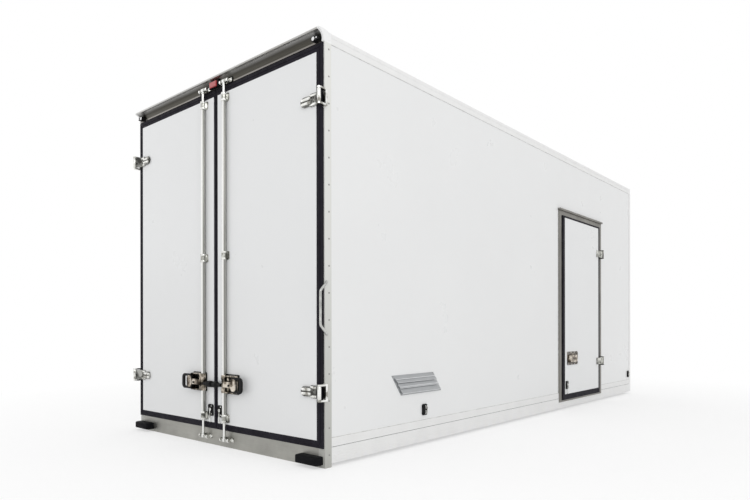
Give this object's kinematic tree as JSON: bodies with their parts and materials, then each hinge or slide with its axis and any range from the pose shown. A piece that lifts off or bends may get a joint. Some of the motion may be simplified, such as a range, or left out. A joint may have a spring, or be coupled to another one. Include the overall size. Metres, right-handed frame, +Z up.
{
  "type": "insulated truck box body",
  "caption": "Closed insulated truck box body with two rear doors on lock rods, a hinged side door, a slatted vent, edge rails and a bolt-down underframe.",
  "frame": {"origin": "on the ground under the middle of the body's box", "axes": "+Y forward, towards the front wall, +X to the right, +Z up"},
  "size_m": [2.503, 6.021, 2.86],
  "materials": {
    "grp_white": "smooth gel coat, gloss",
    "grp_floor": "grey non-slip",
    "rail_white": "white powder coat",
    "post_paint": "pale powder coat",
    "cap_white": "white powder coat",
    "header_steel": "polished along its length",
    "sill_steel": "brushed along its length",
    "rod_steel": "satin",
    "hinge_steel": "polished",
    "lock_steel": "polished, pressed",
    "frame_steel": "satin",
    "vent_aluminium": "mill finish",
    "underframe_zinc": "hot-dip zinc",
    "seal_rubber": "satin black",
    "bumper_rubber": "matt black",
    "black_plastic": "moulded, satin",
    "red_lens": "clear red, ribbed",
    "clear_lens": "clear"
  },
  "bodies": {
    "box_body": {"floor_panel": "grp_floor", "roof_panel": "grp_white", "left_wall": "grp_white", "right_wall": "grp_white", "front_wall": "grp_white", "bottom_rails": "rail_white", "roof_rails": "rail_white", "front_corner_posts": "rail_white", "front_rails": "rail_white", "front_corner_caps": "cap_white", "rear_posts": "post_paint", "rear_header": "header_steel", "rear_corner_caps": "cap_white", "rear_sill": "sill_steel", "dock_bumpers": "bumper_rubber", "grab_handle": "rod_steel", "runners": "underframe_zinc", "cross_members": "underframe_zinc", "mounting_brackets": "underframe_zinc", "cam_keepers": "rod_steel", "rear_hinge_brackets": "hinge_steel", "door_catches": "black_plastic", "lamp_housings": "black_plastic", "stop_lamp": "red_lens", "marker_lenses": "clear_lens", "vent_louvre": "vent_aluminium", "side_door_frame": "frame_steel", "side_hinge_brackets": "hinge_steel"},
    "right_door": {"right_door_panel": "grp_white", "right_door_seal": "seal_rubber", "right_door_lock_rod": "rod_steel", "right_door_rod_guides": "rod_steel", "right_door_lock_case": "lock_steel", "right_door_lock_handle": "black_plastic", "right_door_hinge_straps": "hinge_steel", "right_door_hold_hook": "black_plastic"},
    "left_door": {"left_door_panel": "grp_white", "left_door_seal": "seal_rubber", "left_door_lock_rod": "rod_steel", "left_door_rod_guides": "rod_steel", "left_door_lock_case": "lock_steel", "left_door_lock_handle": "black_plastic", "left_door_hinge_straps": "hinge_steel", "left_door_hold_hook": "black_plastic"},
    "side_door": {"side_door_panel": "grp_white", "side_door_seal": "seal_rubber", "side_door_lock": "lock_steel", "side_door_hinge_straps": "hinge_steel", "side_door_hold_hook": "black_plastic"}
  },
  "joints": [
    {"name": "right_door_hinge", "type": "hinge", "parent": "box_body", "child": "right_door", "pos_m": [1.205, -2.9955, 1.454], "axis": [0, 0, 1], "range_deg": [0, 267]},
    {"name": "left_door_hinge", "type": "hinge", "parent": "box_body", "child": "left_door", "pos_m": [-1.205, -2.9955, 1.454], "axis": [0, 0, -1], "range_deg": [0, 267]},
    {"name": "side_door_hinge", "type": "hinge", "parent": "box_body", "child": "side_door", "pos_m": [1.24, 1.8555, 1.1655], "axis": [0, 0, 1], "range_deg": [0, 177]}
  ]
}
